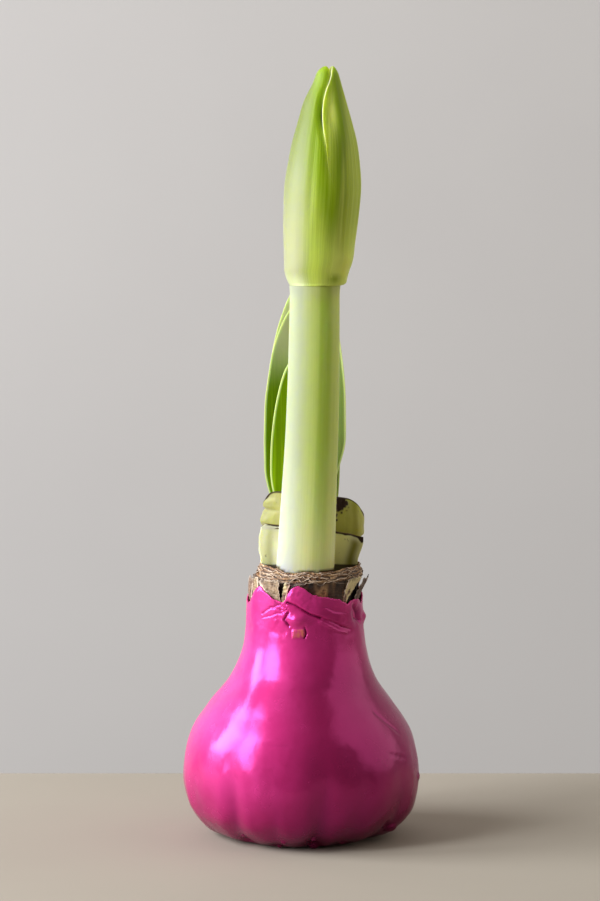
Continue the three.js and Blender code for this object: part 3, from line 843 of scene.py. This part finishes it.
def bud_colours(turns, z):
    """The colour masks of the bud."""
    olive = np.zeros(np.broadcast(turns, z).shape)
    for band in OLIVE_BANDS:
        heights, middles, halves = zip(*band)
        middle, half = np.interp(z, heights, middles), np.interp(z, heights, halves)
        band_here = hump((turns - middle) / half, 0, 1)
        olive = np.maximum(olive, band_here)
    # painted highlight on the sunken patch of the right valve
    painted_glint = spot(turns, z, 17, 9, 281, 6)
    stain = spot(turns, z, 34, 15, 218.2, 2.3)
    speck = spot(turns, z, 27, 1.8, 219.6, 0.6)
    cream_and_glint = 0.85 * fade(z, 220, 246) * (1 - 0.5 * hump(turns, 12, 14)) * smooth(turns, -22, 6)
    cream_and_glint += 0.5 * (hump(turns, 32, 12) + hump(turns, 52, 16)) * fade(z, 222, 232) * smooth(z, 218, 223)
    left_edge = smooth(-turns, 32, 80) * fade(-turns, 120, 175)
    masks = {
        "olive": olive * smooth(z, 224, 244) - painted_glint + 0.8 * stain,
        # painted light on the lit left side
        "pale": 0.95 * smooth(-turns, 4, 40) * round_the_back(turns),
        # cream at the foot, specks, and the painted highlight on the sunken patch
        "cream_and_glint": np.maximum(cream_and_glint * (1 - 0.9 * stain), np.maximum(painted_glint, speck)),
        # painted shade on the strongly lit far left and along the right olive band
        "dull": 0.28 * left_edge + 0.3 * band_here * smooth(z, 228, 240),
    }
    return {mask: np.clip(values, 0, 1) for mask, values in masks.items()}


def valve(name, node, side, material):
    """One of the bud's two valves. side is -1 for the left one and 1 for the right one, that laps over it."""
    # Its rows stand closer together at its foot and tip.
    foot_end, tip_start = BUD_FOOT + 3, BUD_TOP - 7
    foot = np.linspace(BUD_FOOT, foot_end, 14, endpoint=False)
    belly = np.linspace(foot_end, tip_start, 92, endpoint=False)
    z = np.concatenate([foot, belly, np.linspace(tip_start, BUD_TOP, 44)])[:, None]
    seam = curve(BUD_SEAM, z)
    turns = mix(seam, 180.0 * side, np.linspace(0, 1, 110)[None, :] ** 1.5)
    half = curve(BUD_HALF, z)
    place = around(turns, half, z)
    from_seam = np.abs(turns - seam) * math.radians(1) * half
    open_part = smooth(z, 250, 266)
    relief = 0.12 * lumps(place, 5, 51, (1, 1, 8)) + 0.25 * lumps(place, 12, 52, (1, 1, 3))
    if side > 0:
        relief += smooth(z, 258, 274) * (0.5 * hump(from_seam, 0, 0.8) + 0.15)
        patch = spot(turns - seam, z, 22, 13, 281, 6.5)
        relief += patch * (0.25 * lumps(place, 2.2, 53) - 1.2)
        relief -= 0.5 * hump(turns, 38, 5) * smooth(z, 222, 240) * fade(z, 262, 276)
        relief -= 0.35 * smooth(turns, 40, 48) * fade(turns, 66, 84) * smooth(z, 226, 240)
        edge = smooth(z, 268, 276) * fade(from_seam, 0.2, 0.5)
        groove_shade = np.zeros_like(from_seam)
    else:
        relief -= open_part * 2.0 * hump(from_seam, 0.6, 1.2) * (0.2 + 0.8 * hump(z, 281, 8))
        relief -= 0.3 * hump(turns, -18, 6) * smooth(z, 236, 250) * fade(z, 285, 292)
        edge = np.zeros_like(from_seam)
        # painted shade in the groove beside the right valve's lapping edge
        groove_shade = hump(from_seam, 0.4, 0.7) * hump(z, 280, 6)
    relief *= smooth(z, BUD_FOOT, foot_end)
    arc = around(turns, half + relief, z, curve(BUD_FLATNESS, z))
    # The hidden inner face, between the valve's two edges.
    inner = mix(arc[:, -1:], arc[:, :1], np.linspace(0, 1, 14)[None, 1:-1, None])
    inner[..., 0] += side * (0.15 + 0.5 * smooth(z, 294, 299))
    loop = np.concatenate([arc, inner], 1)
    # Rounds each valve's own tip, close beside the other's.
    round_from = BUD_TOP - 3.6
    tip_share = np.clip((z[..., None] - round_from) / (BUD_TOP - round_from), 0, 1)
    centre = mix(loop.mean(1, keepdims=True), loop[:, :1], 0.3)
    shrink = np.sqrt(np.maximum(1 - tip_share**2, 0.004))
    loop[..., :2] = mix(centre, loop, shrink)[..., :2]
    loop[..., 0] += curve(BUD_MIDDLE, z)
    loop[..., 1] += SCAPE_DEPTH
    closed = fade(from_seam, 0, 5) * (1 - open_part)
    firm = np.maximum(np.maximum(closed, 2.5 * groove_shade), fade(z, BUD_FOOT, BUD_FOOT + 6))
    masks = {"fibre": turns * math.radians(13), "edge": edge, "dark": groove_shade, "firm": np.clip(firm, 0, 1)}
    masks.update(bud_colours(turns, z))
    hidden = np.zeros(inner.shape[:2])
    masks = {mask: np.concatenate([values, hidden], 1) for mask, values in masks.items()}
    column_piece(name, loop, material, node, masks)


# ---- Stubs of cut leaves ----

def full(value, power=0.8):
    """The cosine or sine of an oval with fuller corners than an ellipse."""
    return np.sign(value) * np.abs(value) ** power


def low_stub(material):
    """A low stub, pressed between the stalk and the tall stub and bowed round the stalk."""
    depth, bow = 0.75, 1.6
    angle = np.radians(whole_turn(220, start=0))
    across = full(np.cos(angle), 0.75)
    thick = full(np.sin(angle), 0.75) / 2
    corner = 1.3 * smooth(-across, 0.9, 1.0) + 0.8 * smooth(across, 0.7, 1.0)
    top = mix(122.3, 117.6, (across + 1) / 2) - corner + 0.35 * ragged(across * 18, 5, 141)
    up = np.concatenate([np.linspace(0, 0.93, 60), np.linspace(0.94, 1, 12)])[:, None]
    z = mix(CROWN, top, up)
    left_edge = -19.1 - 0.7 * smooth(z, 108.5, 112) + 0.8 * smooth(z, 116.5, 120.5)
    right_edge = 18.7 + 2.2 * smooth(z, 107, 115.5)
    x = lean(z) + mix(left_edge, right_edge, (across + 1) / 2)
    y = depth + 2.2 * thick - bow * across**4
    rings = np.stack(np.broadcast_arrays(x, y, z), -1)
    swell = 0.35 * lumps(rings, 6, 142, (1, 1, 2)) + 0.2 * lumps(rings, 2.4, 143, (1, 1, 2))
    rings[..., 1] += swell * np.sign(thick)
    # The cut: a rounded lip of callus, and then the sunken face of the cut.
    inward = [(0.82, 0.1), (0.6, -0.1), (0.3, -0.45), (0.08, -0.5)]
    last = rings[-1]
    spine = last.copy()
    spine[:, 1] = depth - bow * across[0] ** 4
    cut = [mix(spine, last, share) + np.array([0, 0, drop]) for share, drop in inward]
    from_top = np.concatenate([top - z, np.zeros((len(cut), angle.size))])
    is_cut = np.concatenate([0 * z, np.ones((len(cut), angle.size))])
    rings = np.concatenate([rings, np.stack(cut)])
    blob = 1.6 * hump(across, 0.97, 0.06)
    line = fade(from_top + 0.3 * lumps(rings, 1.5, 144), 0.3 + blob, 0.75 + blob)
    # painted shade, mostly on the right end
    olive = 0.9 * hump(across, 0.84, 0.1) + 0.3 * hump(across, -0.8, 0.07)
    # painted shadow at the low stub's foot, just above the neck's rim
    foot_shadow = 0.9 * foot_shade(rings, behind=1.1)
    callus_and_shadow = np.clip(np.maximum(line * smooth(across, -0.93, -0.84) - 0.6 * is_cut, foot_shadow), 0, 1)
    masks = {
        "fibre": across * 17,
        "callus_and_shadow": callus_and_shadow,
        "firm": np.clip(2 * callus_and_shadow + fade(from_top, 0, 2.5) + smooth(across, 0.2, 0.6), 0, 1),
        "dull": 0,
        "cut": is_cut,
        "olive": olive * (1 - 0.7 * hump(from_top, 1.2, 1.2)) * smooth(from_top, 0, 2),
        "pale": np.clip(0.95 - 0.4 * olive, 0, 1),
        # painted light on the shaded right half
        "gold": smooth(across, 0.1, 0.5) * (1 - olive),
    }
    column_piece("leaf_stub_low_base", rings, material, "leaf_stub_low", masks)


def tall_stub(material):
    """A tall stub that sheathes the young leaves as an oval sleeve, cut across at its top."""
    degrees = whole_turn(260, start=0)
    turn = np.radians(degrees)
    cosine, sine = np.cos(turn), np.sin(turn)
    heights = np.concatenate([np.linspace(CROWN, 131, 64), np.linspace(131.3, SLEEVE_TOP, 14)])
    # Rows go up the outer wall, over the rim and down the inner wall.
    rim = [(0.3, 0.2), (0.7, 0.28), (1.1, 0.2), (1.5, -0.1)]
    walls = [(0.0, z, 0.0) for z in heights] + [(inset, SLEEVE_TOP, lift) for inset, lift in rim]
    walls += [(mix(1.7, 2.2, smooth(SLEEVE_TOP - z, 0, 6)), z, 0.0) for z in heights[::-2]]
    inset, z, lift = (np.array(column)[:, None] for column in zip(*walls))
    spread = smooth(z, 108.5, 122)
    x = lean(z) + 1.5 * spread + (14.4 + 5.4 * spread - inset) * full(cosine)
    y = SLEEVE_DEPTH + 0.9 * spread + (7 + 1.6 * spread - inset) * full(sine)
    slant = 1.9 * (1 + cosine) + 2.2 * smooth(sine, 0, 0.8) + 1.2 * smooth(cosine, 0.6, 0.9) + 6 * cosine**10
    drop = slant * smooth(z, 111, SLEEVE_TOP)
    drop -= 0.3 * ragged_round(degrees, 7, 151) * smooth(z, 125, SLEEVE_TOP)
    rings = np.stack(np.broadcast_arrays(x, y, z - drop + lift), -1)
    # Swollen and pinched in on its left, with a dried scab and its crust beside the stalk.
    height = rings[..., 2]
    left_side, right_side = hump(degrees, 195, 35), hump(degrees, 335, 30)
    swell = 0.45 * lumps(rings, 7, 152, (1, 1, 1.3)) + 0.2 * lumps(rings, 2.6, 153)
    swell += left_side * (1.5 * hump(height, 122.4, 2.3) - 1.0 * hump(height, 126.7, 0.7))
    swell -= left_side * (0.1 * smooth(height, 126, 127.5) + 0.9 * smooth(height, 129.5, 132))
    from_scab = np.hypot((degrees - 297) / 11, (height - 128.8) / 4.4)
    scab = smooth(1 - from_scab + 0.8 * lumps(rings, 2.2, 154) + 0.3 * lumps(rings, 0.9, 157), 0.0, 0.15)
    outside = (inset < 0.1) * smooth(z, 109, 113)
    rings[..., 0] += outside * swell * full(cosine)
    rings[..., 1] += outside * (swell * full(sine) * 0.6 - 0.4 * scab * (1 + lumps(rings, 1.1, 158)))
    cut_line = fade(SLEEVE_TOP - z, 0.2, 0.6) * smooth(lumps(rings, 3, 155), -0.6, -0.1)
    callus_and_shadow = np.clip(scab * outside + 0.85 * cut_line * (inset < 0.8), 0, 1)
    streaks = smooth(lumps(rings, 4, 156, (1, 1, 3.5)), -0.3, 0.3)
    masks = {
        "fibre": degrees * math.radians(17),
        "callus_and_shadow": callus_and_shadow,
        "firm": np.clip(2 * callus_and_shadow, 0, 1),
        "cut": (inset > 0.1) & (inset < 1.65),
        # painted shade on the strongly lit left side
        "dull": left_side,
        # painted shade on the shaded front right, streaked
        "olive": right_side * mix(0.75, 0.1, streaks),
        "pale": 0,
        "gold": 0,
    }
    faces = grid_quads(len(walls), degrees.size, wrap=True, wrap_rows=True)
    piece("leaf_stub_tall_sleeve", rings, faces, material, "leaf_stub_tall", masks)


# ---- Young leaves ----

def leaf(name, material, foot, high, top, depth, tip_lean, seed, swell=(108, 152), tip_power=2.4,
         pallor=(0, 0), olive=0):
    """A strap leaf, widest above its middle, with a round tip. foot and high are its middle and width at the
    crown and above the heights of swell, pallor its paleness low and high, and olive how much painted shade
    darkens it."""
    up = (1 - np.linspace(1, 0, 150) ** 1.35)[:, None]
    across = np.linspace(-1, 1, 40)[None, :]
    across = np.sign(across) * (1 - (1 - np.abs(across)) ** 1.25)
    out = np.abs(across)
    z = mix(CROWN, top, up)
    grown = smooth(z, *swell)
    tip = np.clip((up - 0.5) / 0.5, 0, 1)
    half_width = mix(foot[1], high[1], grown) / 2 * np.sqrt(np.maximum(1 - tip**tip_power, 0.0006))
    wavy = 0.25 * ragged(z + 40 * seed, 14, seed) * smooth(z, 135, 150)
    x = mix(foot[0], high[0], grown) + tip_lean * tip**2 + half_width * across + wavy * out
    channel = 1.2 * smooth(z, 126, 165) * ((x - 2) / 15) ** 2
    cup = 0.7 * smooth(z, 135, 160) * out**4
    y = SLEEVE_DEPTH + depth - channel - cup + 5.0 * smooth(z, 125, 225)
    middle = np.stack(np.broadcast_arrays(x, y, z), -1)
    thickness = 1.2 * np.sqrt(1 - 0.6 * out**4) * np.sqrt(np.maximum(1 - out**12, 0))
    at_tip = np.sqrt(np.clip((1 - up) / 0.02, 0, 1))
    thickness = np.maximum(thickness, 0.3) * np.maximum(at_tip, 0.3)
    from_edge = np.minimum((1 - out) * np.maximum(half_width, 0.5), (1 - up) * (top - CROWN))
    pale = mix(*pallor, smooth(z, 172, 196))
    masks = {"fibre": x, "edge": fade(from_edge, 0.25, 0.75), "pale": pale, "olive": olive}
    sheet_piece(f"{name}_blade", middle, thickness, material, name, masks)


def leaves(material):
    leaf("leaf_left_short", material, (-1.9, 8.8), (-3.6, 16), 185.5, -2.4, 1.5, 161, (112, 142), 1.9)
    # olive is painted shade on the right leaf and the tall left leaf
    leaf("leaf_right", material, (8.7, 10), (9.7, 16.4), 207, -0.8, -1, 162, (134, 155), 2.8,
         pallor=(0.22, 0.38), olive=0.5)
    leaf("leaf_left_tall", material, (3.1, 21.4), (0.8, 29.6), 209, 0.8, 2, 163, (113, 144), pallor=(0, 0.8),
         olive=0.42)
    leaf("leaf_rear", material, (3.1, 17.6), (1, 28), 218, 2.4, 3.5, 164, pallor=(0.3, 1.0))


# ---- Camera, light and floor ----

def camera():
    target = Vector((0, 0, 0.1507))
    distance, elevation = 1.4, math.radians(6)
    height_in_view = 0.3496
    data = bpy.data.cameras.new("camera")
    data.sensor_fit = "VERTICAL"
    data.sensor_height = 36
    data.lens = 36 * distance / height_in_view
    view = put_in_scene("camera", data)
    view.location = target + distance * Vector((0, -math.cos(elevation), math.sin(elevation)))
    view.rotation_euler = (math.pi / 2 - elevation, 0, 0)
    bpy.context.scene.camera = view
    bpy.context.scene.view_settings.view_transform = "Standard"


def area_light(name, place, aim, width, height, watts, colour):
    data = bpy.data.lights.new(name, "AREA")
    data.shape = "RECTANGLE"
    data.size, data.size_y = width, height
    data.energy = watts
    data.color = colour
    light = put_in_scene(name, data)
    light.location = place
    light.rotation_euler = (Vector(aim) - Vector(place)).to_track_quat("-Z", "Y").to_euler()


def studio():
    """A window with two panes on the left, a pale card on the right and a dim room."""
    world = bpy.data.worlds.new("studio")
    world.use_nodes = True
    room = world.node_tree.nodes["Background"].inputs
    room["Color"].default_value = (1.0, 0.95, 0.88, 1)
    room["Strength"].default_value = 0.12
    bpy.context.scene.world = world
    daylight = (0.90, 0.95, 1.0)
    area_light("window_front", (-1.19, -0.72, 0.75), (0, -0.1, 0.2), 0.5, 1.35, 27, daylight)
    area_light("window_rear", (-1.15, 0.02, 0.60), (0, 0, 0.2), 0.6, 0.8, 20, daylight)
    area_light("card", (1.02, -0.04, 0.70), (0, 0, 0.15), 1.3, 1.4, 4.9, (1.0, 0.96, 0.84))
    area_light("ceiling", (-0.2, 0.3, 1.7), (0, 0.1, 0), 1.6, 1.2, 3, (1.0, 0.99, 0.97))


def plain_surface(name, low, high, glow):
    """A dull surface that a camera behind it looks through."""
    s = Surface(name, Roughness=0.85, Emission_Strength=glow)
    s.set(Emission_Color=(1.0, 0.96, 0.92), Base_Color=s.blend(s.noise(160), low, high))
    behind = s.add("ShaderNodeNewGeometry").outputs["Backfacing"]
    clear = s.add("ShaderNodeBsdfTransparent").outputs[0]
    seen = s.add("ShaderNodeMixShader", {0: behind, 1: s.shader.outputs[0], 2: clear}).outputs[0]
    s.tree.links.new(seen, s.tree.nodes["Material Output"].inputs["Surface"])
    return s.material


def stage_part(name, points, faces, material):
    mesh = bpy.data.meshes.new(name)
    mesh.from_pydata(points, [], faces)
    mesh.materials.append(material)
    put_in_scene(name, mesh)


def backdrop():
    """A pale table top, and a pale wall some way behind it."""
    front, back, thick, wall = -0.22, 0.12, 0.04, 0.75
    corners = [(-3, front), (3, front), (3, back), (-3, back)]
    table = [(x, y, z) for z in (0, -thick) for x, y in corners]
    sides = [(0, 1, 2, 3), (7, 6, 5, 4), (0, 4, 5, 1), (1, 5, 6, 2), (2, 6, 7, 3), (3, 7, 4, 0)]
    pale_wood = plain_surface("table", (0.335, 0.285, 0.23), (0.385, 0.335, 0.27), 0.0)
    stage_part("table", table, sides, pale_wood)
    panel = [(-4, wall, -1.5), (4, wall, -1.5), (4, wall, 3), (-4, wall, 3)]
    plaster = plain_surface("wall", (0.385, 0.355, 0.34), (0.43, 0.40, 0.378), 0.145)
    stage_part("wall", panel, [(0, 1, 2, 3)], plaster)


camera()
studio()
backdrop()
wax_coat(wax_material())
bulb(crown_material())
neck_paper = paper_material("neck_paper", (0.06, 0.018, 0.006), (0.42, 0.21, 0.085), (0.60, 0.36, 0.17))
neck_tunic(neck_paper)
flaps(paper_material("flap_paper", (0.10, 0.042, 0.024), (0.38, 0.235, 0.15), (0.95, 0.82, 0.42)), neck_paper)
scape(scape_material())
spathe = spathe_material()
valve("spathe_valve_left_half", "spathe_valve_left", -1, spathe)
valve("spathe_valve_right_half", "spathe_valve_right", 1, spathe)
stub = stub_material()
low_stub(stub)
tall_stub(stub)
leaves(leaf_material())
